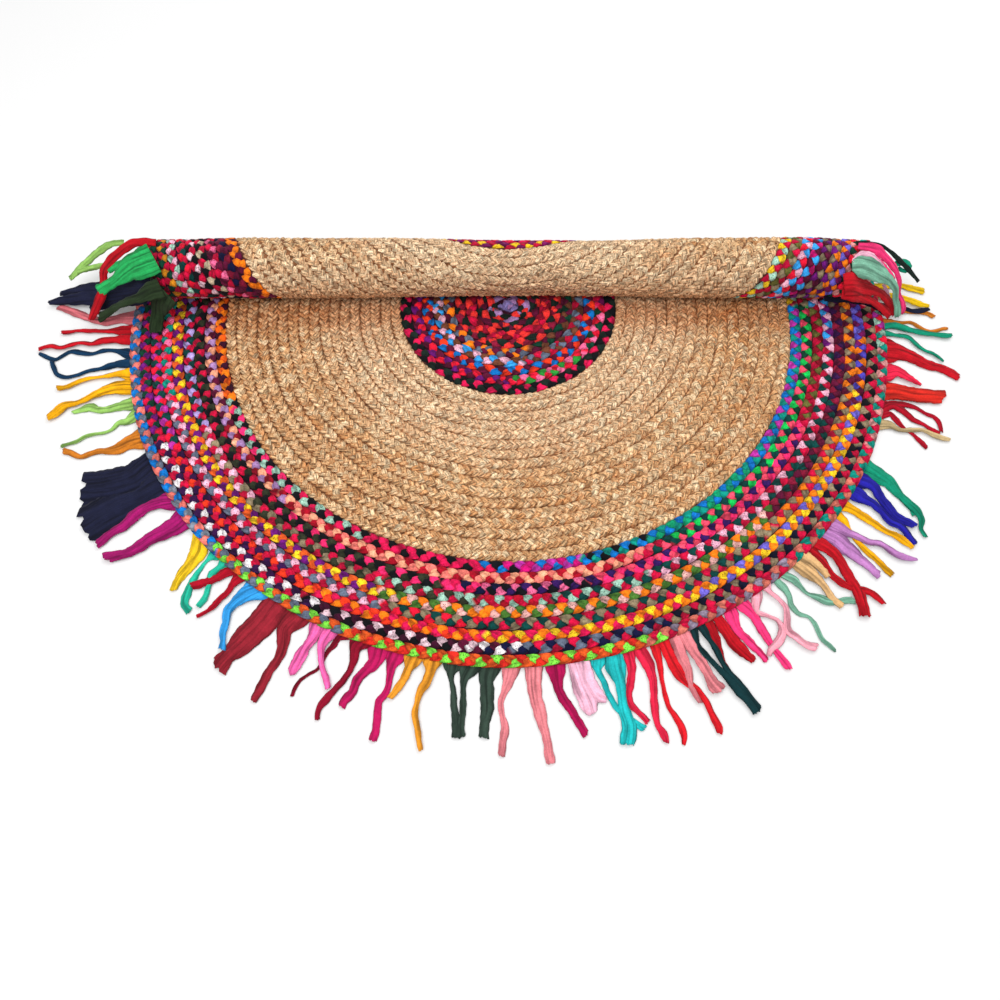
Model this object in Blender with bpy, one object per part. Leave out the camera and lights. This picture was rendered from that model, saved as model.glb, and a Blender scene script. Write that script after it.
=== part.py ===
# Round rag rug: near half flat on the floor, far half rolled up towards the viewer.
import math

import bmesh
import bpy
from mathutils import Vector

MM = 0.001

# The rug as it would lie flat, in millimetres. X is to the right, +Y is the far side that is rolled.
MEDALLION_RADIUS = 173.5
JUTE_RADIUS = 451.0
BORDER_RADIUS = 584.0
EDGE_RADIUS = 600.0
PIECE_GAP = 0.3
MEDALLION_ROWS = 10
JUTE_ROWS = 17
BORDER_ROWS = 8
THICKNESS = 8.0
GROOVE_HEIGHT = 5.8
STEP_ANGLE = 5

# The roll: a spiral that leaves the floor at ROLL_LINE and turns back over the rug.
ROLL_LINE = 33.0
ROLL_RADIUS = 52.7
ROLL_PITCH = 9.2
STATION_ANGLE = 20
STATION_COUNT = 58

# The edge plait, as (radius, height) points round its section. Rags leave its outer wall, last but one side.
EDGE_SECTION = ((BORDER_RADIUS, 0), (BORDER_RADIUS, 5.8), (592, THICKNESS), (EDGE_RADIUS, 5), (EDGE_RADIUS, 2),
                (EDGE_RADIUS, 0))
ROOT_SIDE = 3
ROOT_HEIGHTS = (5, 2)
RAG_THICKNESS = 2.4

# Where a rag on the floor has its sections: (share of its length, width as a share of the root's).
FLOOR_RAG_SECTIONS = ((0.16, 0.9), (0.42, 0.76), (0.72, 0.82), (1.0, 0.62))
TAIL_GAP = 0.25

# The part of the edge that each fringe covers, in degrees from +X, counterclockwise seen from above.
FLAT_END = math.degrees(math.asin(ROLL_LINE / EDGE_RADIUS))
FIRST_TURN_END = 33.5
END_GAP = 0.02

# Rags that lie on the floor: edge angle at both sides of the root, then (length, turn) of each tail.
FLOOR_RAGS = (
    (-179.0, -177.0, ((118, -6),)),
    (-176.3, -172.9, ((105, -7), (132, 0))),
    (-171.5, -168.5, ((136, -5), (100, 3))),
    (-167.9, -163.7, ((105, -4), (124, 6))),
    (-162.7, -159.0, ((84, -6), (110, 6))),
    (-157.3, -153.6, ((112, -5),)),
    (-152.6, -145.2, ((104, -16), (124, 1), (118, 8))),
    (-144.6, -139.3, ((112, -2), (118, 6))),
    (-138.2, -134.6, ((84, 8),)),
    (-133.4, -130.6, ((80, 4),)),
    (-130.0, -127.3, ((70, -3),)),
    (-126.6, -123.6, ((92, -3),)),
    (-122.9, -117.0, ((112, -15), (105, -3), (124, 8))),
    (-116.2, -112.9, ((72, -4), (84, 6))),
    (-112.4, -108.1, ((108, -2), (116, 1))),
    (-107.7, -103.4, ((92, -7), (120, 5))),
    (-102.8, -98.9, ((70, -7), (120, 7))),
    (-98.1, -91.6, ((96, -4), (96, 7))),
    (-90.9, -86.6, ((112, -5), (126, 8))),
    (-85.6, -83.1, ((96, 6),)),
    (-82.6, -80.2, ((62, 2),)),
    (-79.6, -76.0, ((108, -5), (96, 5))),
    (-75.5, -73.0, ((112, -2),)),
    (-72.1, -69.8, ((116, -3),)),
    (-69.2, -66.9, ((80, 0),)),
    (-66.3, -64.5, ((128, 3),)),
    (-64.0, -62.1, ((66, 3),)),
    (-61.2, -58.0, ((78, -4), (100, 2))),
    (-56.4, -53.7, ((98, 0),)),
    (-52.9, -51.2, ((110, -4),)),
    (-49.6, -47.4, ((84, -5),)),
    (-46.8, -43.8, ((108, -6), (106, 2))),
    (-43.2, -40.2, ((88, -3), (116, 5))),
    (-39.5, -36.8, ((104, 0),)),
    (-35.6, -32.4, ((112, -8), (88, -1))),
    (-31.6, -29.0, ((120, -4),)),
    (-22.4, -20.2, ((94, -3),)),
    (-19.8, -17.9, ((90, 0),)),
    (-17.5, -14.5, ((92, -2), (94, 6))),
    (-13.3, -11.4, ((36, 8),)),
    (-10.2, -6.2, ((116, -8),)),
    (-5.6, -3.6, ((104, -6),)),
    (-2.9, -1.1, ((84, -3),)),
    (-0.6, 1.2, ((72, 0),)),
)

# Rags that hang from the roll's ends: edge angle at both sides of the root, how far they first stick out,
# the bend in the air and the tip on the floor, both as (distance from the middle, depth, height).
HANGING_RAGS = (
    (7.0, 9.2, 26, (625, 122, 26), (712, 150, 1.3)),
    (11.6, 14.0, 30, (640, 108, 62), (700, 118, 1.3)),
    (15.8, 18.4, 34, (652, 70, 98), (722, 84, 1.3)),
    (20.2, 23.4, 36, (652, 26, 84), (706, 52, 1.3)),
    (25.4, 28.0, 44, (640, 4, 40), (736, 20, 1.3)),
)
HANGING_RAG_STEPS = 8
HANGING_RAG_TAPER = 0.3
LOW_ROOT_ANGLE = 10

# Rags wound up in the roll's core: their spacing and width along the edge in degrees, length, and heights.
WOUND_RAG_STEP = 6.0
WOUND_RAG_WIDTH = 2.6
WOUND_RAG_LENGTH = 105
WOUND_RAG_HEIGHTS = (4.6, 2.2)
WOUND_RAG_SECTIONS = ((0.33, 0.58), (0.67, 0.52), (1.0, 0.46))

# The longest cell along the edge plait in degrees: on the floor, over the first turn and in the core.
FLAT_CELL = 2.5
FIRST_TURN_CELL = 1.6
CORE_CELL = 3
CLEAR_OF_MARK = 0.4

COLOURS = {
    "centre_medallion": (0.42, 0.05, 0.12, 1),
    "jute_field": (0.58, 0.41, 0.24, 1),
    "border_band": (0.50, 0.08, 0.22, 1),
    "fringe_front": (0.52, 0.10, 0.20, 1),
    "fringe_left": (0.10, 0.42, 0.16, 1),
    "fringe_right": (0.52, 0.10, 0.26, 1),
    "fringe_core": (0.36, 0.12, 0.34, 1),
}


# The roll's stations: flat distance behind the roll line, point of the underside and direction to the upper side
def make_stations():
    stations = []
    distance = 0.0
    for number in range(STATION_COUNT):
        turn = math.radians(STATION_ANGLE) * number
        radius = ROLL_RADIUS - ROLL_PITCH * turn / math.tau
        point = (ROLL_LINE + radius * math.sin(turn), ROLL_RADIUS - radius * math.cos(turn))
        normal = (-math.sin(turn), math.cos(turn))
        if stations:
            middle = THICKNESS / 2
            before = stations[-1]
            across = point[0] + normal[0] * middle - before[1][0] - before[2][0] * middle
            up = point[1] + normal[1] * middle - before[1][1] - before[2][1] * middle
            distance += math.hypot(across, up)
        stations.append((distance, point, normal))
    return stations


STATIONS = make_stations()


# Where a point of the flat rug is once the far half is rolled
def roll_point(x, y, z):
    behind = y - ROLL_LINE
    if behind <= 0:
        return Vector((x, y, z))
    number = 0
    while number < STATION_COUNT - 2 and STATIONS[number + 1][0] < behind:
        number += 1
    start, start_point, start_normal = STATIONS[number]
    end, end_point, end_normal = STATIONS[number + 1]
    share = (behind - start) / (end - start)
    mixed = []
    for axis in (0, 1):
        point = start_point[axis] + share * (end_point[axis] - start_point[axis])
        normal = start_normal[axis] + share * (end_normal[axis] - start_normal[axis])
        mixed.append(point + normal * z)
    return Vector((x, mixed[0], mixed[1]))


# Cuts a flat mesh at every station, so that each of its faces stays flat in the roll, then rolls it
def bend_over_roll(mesh_data):
    mesh_data.normal_update()
    for distance, point, normal in STATIONS:
        geometry = mesh_data.verts[:] + mesh_data.edges[:] + mesh_data.faces[:]
        bmesh.ops.bisect_plane(mesh_data, geom=geometry, dist=0.001, plane_co=(0, ROLL_LINE + distance, 0),
                               plane_no=(0, 1, 0))
    # Walls twist a little in the roll, so those of neighbours are split along the same diagonal.
    for face in list(mesh_data.faces):
        if len(face.verts) != 4 or abs(face.normal.z) > 0.3:
            continue
        corners = sorted(face.verts, key=lambda vert: vert.co.z)
        low = min(corners[:2], key=lambda vert: vert.co.y)
        high = max(corners[2:], key=lambda vert: vert.co.y)
        if not any(low in edge.verts and high in edge.verts for edge in face.edges):
            bmesh.utils.face_split(face, low, high)
    bmesh.ops.triangulate(mesh_data, faces=mesh_data.faces)
    for vert in mesh_data.verts:
        vert.co = roll_point(*vert.co)


def polar(radius, angle, height):
    turn = math.radians(angle)
    return Vector((radius * math.cos(turn), radius * math.sin(turn), height))


def add_object(name, mesh_data):
    bmesh.ops.recalc_face_normals(mesh_data, faces=mesh_data.faces)
    for vert in mesh_data.verts:
        vert.co *= MM
    mesh = bpy.data.meshes.new(name)
    mesh_data.to_mesh(mesh)
    mesh_data.free()
    material = bpy.data.materials.new(name)
    material.use_nodes = True
    shader = material.node_tree.nodes["Principled BSDF"]
    shader.inputs["Base Color"].default_value = COLOURS[name]
    shader.inputs["Roughness"].default_value = 0.9
    mesh.materials.append(material)
    obj = bpy.data.objects.new(name, mesh)
    collection.objects.link(obj)
    return obj


# A ring of sewn rows: ridged on top over the near half, and one plain sheet over the far half
def add_ring(name, inner, outer, rows, rim_angles=tuple(range(STEP_ANGLE, 180, STEP_ANGLE))):
    mesh_data = bmesh.new()
    inner += PIECE_GAP / 2
    outer -= PIECE_GAP / 2
    if inner < 1:
        inner = 0
    near_angles = range(-180, 1, STEP_ANGLE)
    far_angles = range(STEP_ANGLE, 180, STEP_ANGLE)
    cells = rows * 2
    rings = []
    for cell in range(cells + 1):
        radius = inner + (outer - inner) * cell / cells
        height = THICKNESS if cell % 2 else GROOVE_HEIGHT
        if radius == 0:
            centre = mesh_data.verts.new((0, 0, THICKNESS))
            rings.append([centre] * len(near_angles))
            continue
        ring = [mesh_data.verts.new(polar(radius, angle, height)) for angle in near_angles]
        ring[0].co.z = THICKNESS
        ring[-1].co.z = THICKNESS
        rings.append(ring)
    for lower, upper in zip(rings, rings[1:]):
        for i in range(len(near_angles) - 1):
            corners = (lower[i], upper[i], upper[i + 1], lower[i + 1])
            mesh_data.faces.new(list(dict.fromkeys(corners)))
    far_outer = [mesh_data.verts.new(polar(outer, angle, THICKNESS)) for angle in rim_angles]
    far_top = [ring[-1] for ring in rings] + far_outer + [ring[0] for ring in reversed(rings)]
    bottoms = {}
    rims = [rings[-1] + far_outer]
    if inner > 0:
        far_inner = [mesh_data.verts.new(polar(inner, angle, THICKNESS)) for angle in far_angles]
        far_top += list(reversed(far_inner))
        rims.append(rings[0] + far_inner)
    mesh_data.faces.new(list(dict.fromkeys(far_top)))
    for rim in rims:
        bottoms[rim[0]] = [mesh_data.verts.new((vert.co.x, vert.co.y, 0)) for vert in rim]
        under = bottoms[rim[0]]
        for i in range(len(rim)):
            j = (i + 1) % len(rim)
            mesh_data.faces.new((rim[i], rim[j], under[j], under[i]))
    half = len(near_angles) - 1
    outer_under = bottoms[rims[0][0]]
    if inner > 0:
        inner_under = bottoms[rims[1][0]]
        mesh_data.faces.new(outer_under[:half + 1] + list(reversed(inner_under[:half + 1])))
        mesh_data.faces.new([outer_under[0]] + list(reversed(outer_under[half:])) + inner_under[half:]
                            + [inner_under[0]])
    else:
        mesh_data.faces.new(outer_under)
    bend_over_roll(mesh_data)
    return add_object(name, mesh_data)


def bezier(points, share):
    rest = 1 - share
    return (points[0] * rest ** 3 + points[1] * 3 * rest ** 2 * share + points[2] * 3 * rest * share ** 2
            + points[3] * share ** 3)


def bezier_direction(points, share):
    rest = 1 - share
    slope = ((points[1] - points[0]) * rest ** 2 + (points[2] - points[1]) * 2 * rest * share
             + (points[3] - points[2]) * share ** 2)
    return slope.normalized()


# Sections of a rag that lies on the floor, each as four corners in the order of the root face
def floor_rag(start, end, length, turn):
    angle = (start + end) / 2
    outwards = polar(1, angle, 0)
    along = polar(1, angle + turn, 0)
    root_width = math.radians(end - start) * EDGE_RADIUS
    root = polar(EDGE_RADIUS, angle, 0)
    path = (root, root + outwards * length / 3, root + along * length * 2 / 3, root + along * length)
    sections = []
    for share, width in FLOOR_RAG_SECTIONS:
        centre = bezier(path, share)
        forward = bezier_direction(path, share)
        side = Vector((-forward.y, forward.x, 0)) * root_width * width / 2
        up = Vector((0, 0, RAG_THICKNESS))
        sections.append((centre - side + up, centre + side + up, centre + side, centre - side))
    return sections


# Sections of a rag that hangs from the roll's end on the right
def hanging_rag(start, end, reach, bend, tip):
    top, bottom = ROOT_HEIGHTS
    corners = [roll_point(*polar(EDGE_RADIUS, angle, height))
               for angle, height in ((start, top), (end, top), (end, bottom), (start, bottom))]
    root = sum(corners, Vector()) / 4
    root_side = (corners[1] - corners[0] + corners[2] - corners[3]) / 2
    path = (root, root + Vector((reach, 0, 0)), Vector(bend), Vector(tip))
    last_side = Vector((0, root_side.length, 0))
    if root_side.y < 0 and start > LOW_ROOT_ANGLE:
        last_side = -last_side
    sections = []
    for step in range(1, HANGING_RAG_STEPS + 1):
        share = step / HANGING_RAG_STEPS
        centre = bezier(path, share)
        forward = bezier_direction(path, share)
        side = root_side.lerp(last_side, share)
        side -= forward * side.dot(forward)
        side = side.normalized() * root_side.length * (1 - HANGING_RAG_TAPER * share) / 2
        up = forward.cross(side).normalized() * RAG_THICKNESS / 2
        if step == HANGING_RAG_STEPS:
            up = Vector((0, 0, math.copysign(RAG_THICKNESS / 2, up.z)))
            side.z = 0
        sections.append((centre - side + up, centre + side + up, centre + side - up, centre - side - up))
    return sections


# Sections of a rag that is wound up in the roll, here as it lies in the flat rug
def wound_rag(start, end):
    sections = []
    middle = (start + end) / 2
    top, bottom = WOUND_RAG_HEIGHTS
    for share, width in WOUND_RAG_SECTIONS:
        radius = EDGE_RADIUS + WOUND_RAG_LENGTH * share
        low = middle - (end - start) * width / 2
        high = middle + (end - start) * width / 2
        corners = ((low, top), (high, top), (high, bottom), (low, bottom))
        sections.append([polar(radius, angle, height) for angle, height in corners])
    return sections


# The angles at which a stretch of the edge plait is cut: at both sides of each rag and at steps between
def edge_marks(start, end, step, rags):
    marks = {round(start, 3), round(end, 3)}
    for rag_start, rag_end, sections in rags:
        marks |= {round(rag_start, 3), round(rag_end, 3)}
    count = math.ceil((end - start) / step)
    for number in range(1, count):
        angle = start + (end - start) * number / count
        clear = all(not rag_start < angle < rag_end for rag_start, rag_end, sections in rags)
        if clear and min(abs(angle - mark) for mark in marks) > CLEAR_OF_MARK:
            marks.add(round(angle, 3))
    return sorted(marks)


# The edge plait from one angle to another, with its rags grown out of the outer wall
def add_fringe(name, start, end, step, rags, mirrored=False, wound=False):
    mesh_data = bmesh.new()
    roots = {round(rag_start, 3): sections for rag_start, rag_end, sections in rags}
    marks = edge_marks(start, end, step, rags)
    rings = []
    for angle in marks:
        ring = []
        for radius, height in EDGE_SECTION:
            if radius == BORDER_RADIUS:
                radius += PIECE_GAP
            corner = polar(radius, angle, height)
            ring.append(mesh_data.verts.new(corner if wound else roll_point(*corner)))
        rings.append(ring)
    sides = len(EDGE_SECTION)
    for index in range(len(marks) - 1):
        low, high = rings[index], rings[index + 1]
        for side in range(sides):
            after = (side + 1) % sides
            if side == ROOT_SIDE and marks[index] in roots:
                ring = [low[side], high[side], high[after], low[after]]
                for section in roots[marks[index]]:
                    new_ring = [mesh_data.verts.new(corner) for corner in section]
                    for i in range(4):
                        j = (i + 1) % 4
                        mesh_data.faces.new((ring[i], ring[j], new_ring[j], new_ring[i]))
                    ring = new_ring
                mesh_data.faces.new(ring)
            else:
                mesh_data.faces.new((low[side], high[side], high[after], low[after]))
    mesh_data.faces.new(rings[0])
    mesh_data.faces.new(rings[-1])
    if wound:
        bend_over_roll(mesh_data)
    bmesh.ops.triangulate(mesh_data, faces=mesh_data.faces)
    if mirrored:
        for vert in mesh_data.verts:
            vert.co.x = -vert.co.x
    return add_object(name, mesh_data)


def floor_rags():
    rags = []
    for start, end, tails in FLOOR_RAGS:
        share = (end - start + TAIL_GAP) / len(tails)
        for number, (length, turn) in enumerate(tails):
            tail_start = start + share * number
            tail_end = tail_start + share - TAIL_GAP
            rags.append((tail_start, tail_end, floor_rag(tail_start, tail_end, length, turn)))
    return rags


def hanging_rags():
    return [(row[0], row[1], hanging_rag(*row)) for row in HANGING_RAGS]


def wound_rags():
    rags = []
    angle = FIRST_TURN_END + WOUND_RAG_STEP / 2
    while angle + WOUND_RAG_WIDTH < 180 - FIRST_TURN_END:
        rags.append((angle, angle + WOUND_RAG_WIDTH, wound_rag(angle, angle + WOUND_RAG_WIDTH)))
        angle += WOUND_RAG_STEP
    return rags


for old in list(bpy.data.objects):
    bpy.data.objects.remove(old, do_unlink=True)
collection = bpy.data.collections.new("round_rag_rug")
bpy.context.scene.collection.children.link(collection)

first_turn = (FLAT_END + END_GAP, FIRST_TURN_END - END_GAP, FIRST_TURN_CELL)
core = (FIRST_TURN_END + END_GAP, 180 - FIRST_TURN_END - END_GAP, CORE_CELL, wound_rags())
core_marks = edge_marks(*core)
side_marks = [angle for angle in range(STEP_ANGLE, 180, STEP_ANGLE) if not core[0] - 1 < angle < core[1] + 1]

add_ring("centre_medallion", 0, MEDALLION_RADIUS, MEDALLION_ROWS)
add_ring("jute_field", MEDALLION_RADIUS, JUTE_RADIUS, JUTE_ROWS)
add_ring("border_band", JUTE_RADIUS, BORDER_RADIUS, BORDER_ROWS, sorted(core_marks + side_marks))
add_fringe("fringe_front", -180 - FLAT_END + END_GAP, FLAT_END - END_GAP, FLAT_CELL, floor_rags())
add_fringe("fringe_right", *first_turn, hanging_rags())
add_fringe("fringe_left", *first_turn, hanging_rags(), mirrored=True)
add_fringe("fringe_core", *core, wound=True)
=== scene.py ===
import math

import bmesh
import bpy
import numpy as np
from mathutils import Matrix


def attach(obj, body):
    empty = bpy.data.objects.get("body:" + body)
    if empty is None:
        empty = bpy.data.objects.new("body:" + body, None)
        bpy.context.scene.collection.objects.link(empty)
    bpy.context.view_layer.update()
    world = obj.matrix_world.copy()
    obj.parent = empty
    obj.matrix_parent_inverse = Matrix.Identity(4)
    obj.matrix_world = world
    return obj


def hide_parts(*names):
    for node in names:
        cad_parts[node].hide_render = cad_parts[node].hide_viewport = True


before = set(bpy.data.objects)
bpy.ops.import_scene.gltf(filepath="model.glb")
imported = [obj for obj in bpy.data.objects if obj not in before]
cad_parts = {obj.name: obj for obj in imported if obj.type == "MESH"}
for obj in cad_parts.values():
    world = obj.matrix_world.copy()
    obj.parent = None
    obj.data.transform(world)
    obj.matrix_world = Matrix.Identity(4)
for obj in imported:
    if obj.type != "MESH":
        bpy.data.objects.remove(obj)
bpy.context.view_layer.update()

fullTurn = 2 * math.pi


# Dyes of the cloth, given as sRGB

dyes = {
    "orchid": "B8309F", "magenta": "C80C70", "hotPink": "FA2C70", "pink": "F76C9C",
    "lightPink": "F4B4CC", "palePink": "EFCBD6", "coral": "F04A66", "salmon": "F67E72",
    "peach": "F6A482", "crimson": "C60A3A", "red": "E61434", "darkRed": "8E0A22", "burgundy": "861434",
    "maroon": "5C0C30", "darkMaroon": "3A0824", "purple": "6C1274", "darkPurple": "330E42",
    "deepPurple": "321258", "violetBlue": "5246BE", "periwinkle": "6E62CC", "blue": "0B74C8",
    "skyBlue": "36A0EA", "slate": "626C80", "greySlate": "7E8796", "teal": "078E7E",
    "seafoam": "98C2AE", "mint": "A6D4BE", "emerald": "0A9C6C", "brightGreen": "10BC50",
    "green": "2A8C34", "darkGreen": "063E2C", "darkTeal": "033E3A", "lime": "82E648", "olive": "62602C",
    "oliveGreen": "44702A", "darkOlive": "2E3222", "taupe": "88785E", "beige": "C4B094",
    "yellow": "FACC22", "golden": "E49E22", "ochre": "CC821A", "orange": "FA7E12",
    "tangerine": "F65E14", "rust": "DC5620", "orangeRed": "F63A1C", "navy": "0E113A",
    "navyBlack": "0A0D24", "black": "0D0D13", "charcoal": "14241E", "brown": "6E3E2A",
    "white": "F0EAEC", "mauve": "A77FB4", "lavender": "B09AD8", "greyMauve": "8A7C90",
    "dustyPink": "D8908E", "blushPink": "E6ACA6", "juteGapShade": "8A5A3A", "dustyCoral": "D2705F",
    "darkCrimson": "8C0A28", "raspberry": "DE1450", "plum": "741056", "blueMauve": "8375B0",
    "poppy": "EE3430",
    # the torn rags have their own, as whole strips show the cloth better than plaits do
    "ragSalmon": "D87078", "ragRed": "BE0E1E", "deepPetrol": "0C3454", "amber": "F8B00C",
    "ragGreen": "96C464", "ragOchre": "D07A22", "ragNavy": "181B34", "ragMagenta": "A41468",
    "ragMint": "28C0A0", "ragCrimson": "AE0A24", "ragBurgundy": "93202E", "ragPink": "FA68B0",
    "ragRaspberry": "C0165C", "ragGolden": "E8982A", "ragDarkGreen": "33443A", "ragRose": "E8848C",
    "ragPlum": "B40E52", "ragLightPink": "F8BAD2", "ragTurquoise": "20BABC", "ragCoralRed": "EE264A",
    "ragScarlet": "DC1A26", "ragDarkTeal": "0D3236", "ragHotPink": "FA3A7C", "ragPalePink": "F4A4B4",
    "ragSage": "7CB49A", "ragTan": "DCB07A", "ragLilac": "BA7CBA", "ragRoyal": "2420A0",
    "ragEmerald": "0E8E6E", "ragBeige": "CFB484", "ragOlive": "26361F", "ragYellow": "F2C412",
    "ragLeaf": "26A858", "ragVermilion": "DA2A1E",
}


def parts(text):
    # red, green and blue from 0 to 1
    return [int(text[i:i + 2], 16) / 255 for i in (0, 2, 4)]


def dye(name):
    # the linear colour that the shader wants
    return [p / 12.92 if p <= 0.04045 else ((p + 0.055) / 1.055) ** 2.4 for p in parts(dyes[name])]


# The roll of the far half, in metres. Line, radius and pitch are those of the solids, and the middle is
# half the rug's thickness.

roll = {"line": 0.033, "radius": 0.0527, "pitch": 0.0092, "middle": 0.004,
        "slack": 0.003, "slackWidth": 0.15, "slackLength": 0.3,
        "drawn": 0.027, "sag": 0.06, "ends": (0.44, 0.59), "endRise": (0.03, 0.10),
        "lumps": 0.012, "lumpWaves": (11, 29), "lumpRise": (0.02, 0.10),
        "waist": 0.11, "waistAt": 0.04, "waistWidth": 0.18, "waistRise": (0.010, 0.034), "bow": 0.0075}


def eased(values, low, high):
    share = np.clip((values - low) / (high - low), 0, 1)
    return share * share * (3 - 2 * share)


def rollUp(points):
    # flat rug to rolled rug: past the line the rug winds up and towards the viewer
    middle = roll["radius"] - roll["middle"]
    past = np.maximum(points[:, 1] - roll["line"], 0)
    # the first turn is a little looser over the medallion, which brings its edge over the top
    loose = roll["slack"] * np.exp(-(points[:, 0] / roll["slackWidth"]) ** 2)
    past = past + loose * np.sin(math.pi * np.clip(past / roll["slackLength"], 0, 1))
    under = np.maximum(middle ** 2 - roll["pitch"] * past / math.pi, 1e-6)
    turn = (middle - np.sqrt(under)) * fullTurn / roll["pitch"]
    reach = roll["radius"] - roll["pitch"] * turn / fullTurn - points[:, 2]
    wound = points.copy()
    on = points[:, 1] > roll["line"]
    wound[on, 1] = roll["line"] + (reach * np.sin(turn))[on]
    wound[on, 2] = (roll["radius"] - reach * np.cos(turn))[on]
    # both ends of the roll are drawn in a little and sag at the top, and its top is slightly lumpy
    ends = eased(np.abs(wound[:, 0]), *roll["ends"]) * eased(wound[:, 2], *roll["endRise"])
    broad, close = roll["lumpWaves"]
    lumps = np.sin(broad * wound[:, 0] + 3.5) + 0.7 * np.sin(close * wound[:, 0])
    lumps = lumps * eased(wound[:, 2], *roll["lumpRise"])
    # it is thinner near the middle, where it also bows away from the viewer
    waist = np.exp(-((wound[:, 0] - roll["waistAt"]) / roll["waistWidth"]) ** 2)
    waist = waist * eased(wound[:, 2], *roll["waistRise"])
    wound[:, 1] += waist * (roll["bow"] - roll["waist"] * (wound[:, 1] - roll["line"]))
    wound[:, 0] *= 1 - roll["drawn"] * ends
    wound[:, 2] *= 1 - roll["sag"] * ends + roll["lumps"] * lumps - roll["waist"] * waist
    return wound


def readPoints(mesh):
    flat = np.empty(len(mesh.vertices) * 3)
    mesh.vertices.foreach_get("co", flat)
    return flat.reshape(-1, 3)


def movePoints(mesh, points):
    mesh.vertices.foreach_set("co", points.astype(np.float32).ravel())
    mesh.update()


def paint(mesh, name, kind, values):
    layer = mesh.attributes.new(name, kind, "POINT")
    key = "color" if kind == "FLOAT_COLOR" else "vector"
    layer.data.foreach_set(key, np.asarray(values, np.float32).ravel())


def newPiece(name, mesh, material, nodes):
    piece = bpy.data.objects.new(name, mesh)
    bpy.context.scene.collection.objects.link(piece)
    mesh.materials.clear()
    mesh.materials.append(material)
    mesh.polygons.foreach_set("use_smooth", [True] * len(mesh.polygons))
    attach(piece, "root")
    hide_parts(*nodes)
    return piece


# Materials

def newMaterial(name):
    material = bpy.data.materials.new(name)
    material.use_nodes = True
    return material, material.node_tree, material.node_tree.nodes["Principled BSDF"]


def addNode(tree, kind, **values):
    # names with a capital are sockets, the others are the node's own settings
    made = tree.nodes.new(kind)
    for key, value in values.items():
        if key[0].isupper():
            made.inputs[key.replace("_", " ")].default_value = value
        else:
            setattr(made, key, value)
    return made


def stretchedNoise(tree, source, scale, detail=3.0, noiseScale=1.0):
    # noise on a vector that is scaled along each of its parts
    spread = addNode(tree, "ShaderNodeMapping", Scale=scale)
    tree.links.new(source, spread.inputs["Vector"])
    noise = addNode(tree, "ShaderNodeTexNoise", Scale=noiseScale, Detail=detail)
    tree.links.new(spread.outputs["Vector"], noise.inputs["Vector"])
    return noise.outputs["Fac"]


def ranged(tree, source, low, high, fromLow=0.3, fromHigh=0.7):
    remap = addNode(tree, "ShaderNodeMapRange")
    for key, value in (("From Min", fromLow), ("From Max", fromHigh), ("To Min", low), ("To Max", high)):
        remap.inputs[key].default_value = value
    tree.links.new(source, remap.inputs["Value"])
    return remap.outputs["Result"]


def shaded(tree, colour, amount):
    # colour times a grey amount
    mix = addNode(tree, "ShaderNodeMix", data_type="RGBA", blend_type="MULTIPLY")
    mix.inputs["Factor"].default_value = 1
    tree.links.new(colour, mix.inputs["A"])
    tree.links.new(amount, mix.inputs["B"])
    return mix.outputs["Result"]


def bumped(tree, height, strength, distance, before=None):
    bump = addNode(tree, "ShaderNodeBump", Strength=strength, Distance=distance)
    tree.links.new(height, bump.inputs["Height"])
    if before is not None:
        tree.links.new(before, bump.inputs["Normal"])
    return bump.outputs["Normal"]


# a tone is the lowest and highest share of the dye, then the part of the noise that they span
cottonLook = {"roughness": 0.85, "specular": 0.12, "sheen": 0.04, "sheenRoughness": 0.5,
              "blotchScale": 90, "blotch": (0.78, 1.14), "speckScale": 430, "speck": (0.62, 1.25),
              "crease": 0.0022, "creaseShadeTone": (0.45, 1.1, 0.34, 0.56), "weave": 0.0003, "weaveScale": 1300,
              "dots": 330, "dotEdge": (0.2, 0.34), "dotTone": 0.3}
ragLook = dict(cottonLook, blotch=(0.86, 1.1), speck=(0.86, 1.1))


def cottonMaterial(name, look, creaseScale):
    material, tree, shader = newMaterial(name)
    tint = addNode(tree, "ShaderNodeAttribute", attribute_name="tint")
    grain = addNode(tree, "ShaderNodeAttribute", attribute_name="grain").outputs["Vector"]
    place = addNode(tree, "ShaderNodeTexCoord").outputs["Object"]
    blotch = ranged(tree, stretchedNoise(tree, place, [look["blotchScale"]] * 3), *look["blotch"])
    speck = ranged(tree, stretchedNoise(tree, place, [look["speckScale"]] * 3), *look["speck"])
    crease = stretchedNoise(tree, grain, creaseScale, 4)
    # painted shade in the creases and painted highlight on their crests, from the same noise as the crease
    # bump
    paintedCreaseShade = ranged(tree, crease, *look["creaseShadeTone"])
    colour = shaded(tree, shaded(tree, shaded(tree, tint.outputs["Color"], blotch), speck), paintedCreaseShade)
    # small printed dots on some of the cloths
    dots = addNode(tree, "ShaderNodeTexVoronoi", Scale=look["dots"])
    tree.links.new(place, dots.inputs["Vector"])
    spot = ranged(tree, dots.outputs["Distance"], 1, 0, *look["dotEdge"])
    printed = addNode(tree, "ShaderNodeMath", operation="MULTIPLY")
    tree.links.new(spot, printed.inputs[0])
    tree.links.new(tint.outputs["Alpha"], printed.inputs[1])
    spotted = shaded(tree, colour, ranged(tree, printed.outputs[0], 1, look["dotTone"], 0, 1))
    tree.links.new(spotted, shader.inputs["Base Color"])
    weave = stretchedNoise(tree, grain, [look["weaveScale"]] * 3, 1)
    folds = bumped(tree, crease, 0.9, look["crease"])
    tree.links.new(bumped(tree, weave, 0.5, look["weave"], folds), shader.inputs["Normal"])
    shader.inputs["Roughness"].default_value = look["roughness"]
    shader.inputs["Specular IOR Level"].default_value = look["specular"]
    shader.inputs["Sheen Weight"].default_value = look["sheen"]
    shader.inputs["Sheen Roughness"].default_value = look["sheenRoughness"]
    return material


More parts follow.
